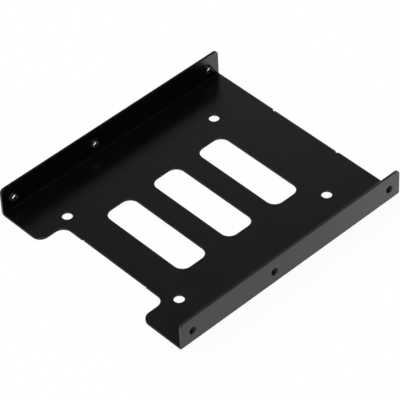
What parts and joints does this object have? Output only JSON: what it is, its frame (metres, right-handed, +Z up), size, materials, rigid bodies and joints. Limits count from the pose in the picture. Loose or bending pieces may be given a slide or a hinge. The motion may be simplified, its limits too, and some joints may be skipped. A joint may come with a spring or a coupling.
{
  "type": "drive bay adapter bracket",
  "caption": "Folded sheet-steel tray with upturned side flanges that carries a small drive in a larger drive bay, with a slotted base, a connector cut-out and tapped side holes.",
  "frame": {"origin": "middle of the base plate's underside, which is the bottom centre of the bounding box", "axes": "+X across the bracket, from flange to flange; +Y along it, from the connector cut-out's end to the plain end; +Z up, the way the flanges stand"},
  "size_m": [0.0996, 0.1128, 0.0129],
  "materials": {
    "black_paint": "satin black powder coat"
  },
  "bodies": {
    "root": {"adapter_bracket": "black_paint"}
  },
  "joints": []
}
